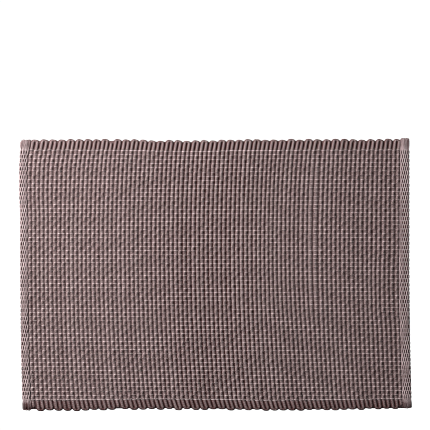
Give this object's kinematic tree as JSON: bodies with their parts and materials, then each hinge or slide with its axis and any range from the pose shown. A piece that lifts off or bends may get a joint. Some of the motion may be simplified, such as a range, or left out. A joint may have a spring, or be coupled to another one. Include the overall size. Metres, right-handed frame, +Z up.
{
  "type": "fabric placemat",
  "caption": "Flat rectangular ribbed cotton placemat: thick weft cords side by side across the short way, scalloped long edges, and a plain hem at each short end.",
  "frame": {"origin": "bottom centre of the bounding box, on the table under the middle of the mat", "axes": "+X along the long side towards the right hem, +Y along the ribs towards the far long edge, +Z up out of the upper face"},
  "size_m": [0.4838, 0.3339, 0.0043],
  "materials": {
    "cotton": "matt mauve-taupe cotton cord with pale thin warp threads"
  },
  "bodies": {
    "root": {"placemat": "cotton"}
  },
  "joints": []
}
